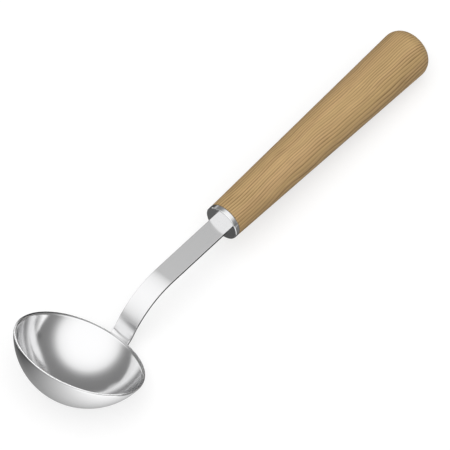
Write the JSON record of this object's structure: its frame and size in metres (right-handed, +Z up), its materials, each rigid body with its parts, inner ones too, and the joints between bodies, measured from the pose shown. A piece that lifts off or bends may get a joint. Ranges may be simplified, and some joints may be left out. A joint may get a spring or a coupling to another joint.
{
  "type": "sauna ladle",
  "caption": "Sauna ladle: a round polished steel bowl on a bent flat steel strap, with a steel ferrule and a tapered turned wooden handle.",
  "frame": {"origin": "middle of the object's box, on the flat surface that the ladle lies on", "axes": "+Z up, +X from the bowl towards the butt of the handle, Y across the strap"},
  "size_m": [0.3754, 0.0902, 0.0618],
  "materials": {
    "polished_steel": "mirror-polished stainless steel",
    "handle_wood": "fine-sanded bare wood with a satin sheen, grain along the handle",
    "bedding_resin": "hardened clear amber adhesive",
    "weld_steel": "resolidified stainless steel"
  },
  "bodies": {
    "root": {"bowl": "polished_steel", "strap": "polished_steel", "ferrule": "polished_steel", "grip": "handle_wood", "tang_bedding": "bedding_resin", "weld_nugget_1": "weld_steel", "weld_nugget_2": "weld_steel", "weld_nugget_3": "weld_steel", "weld_nugget_4": "weld_steel"}
  },
  "joints": []
}
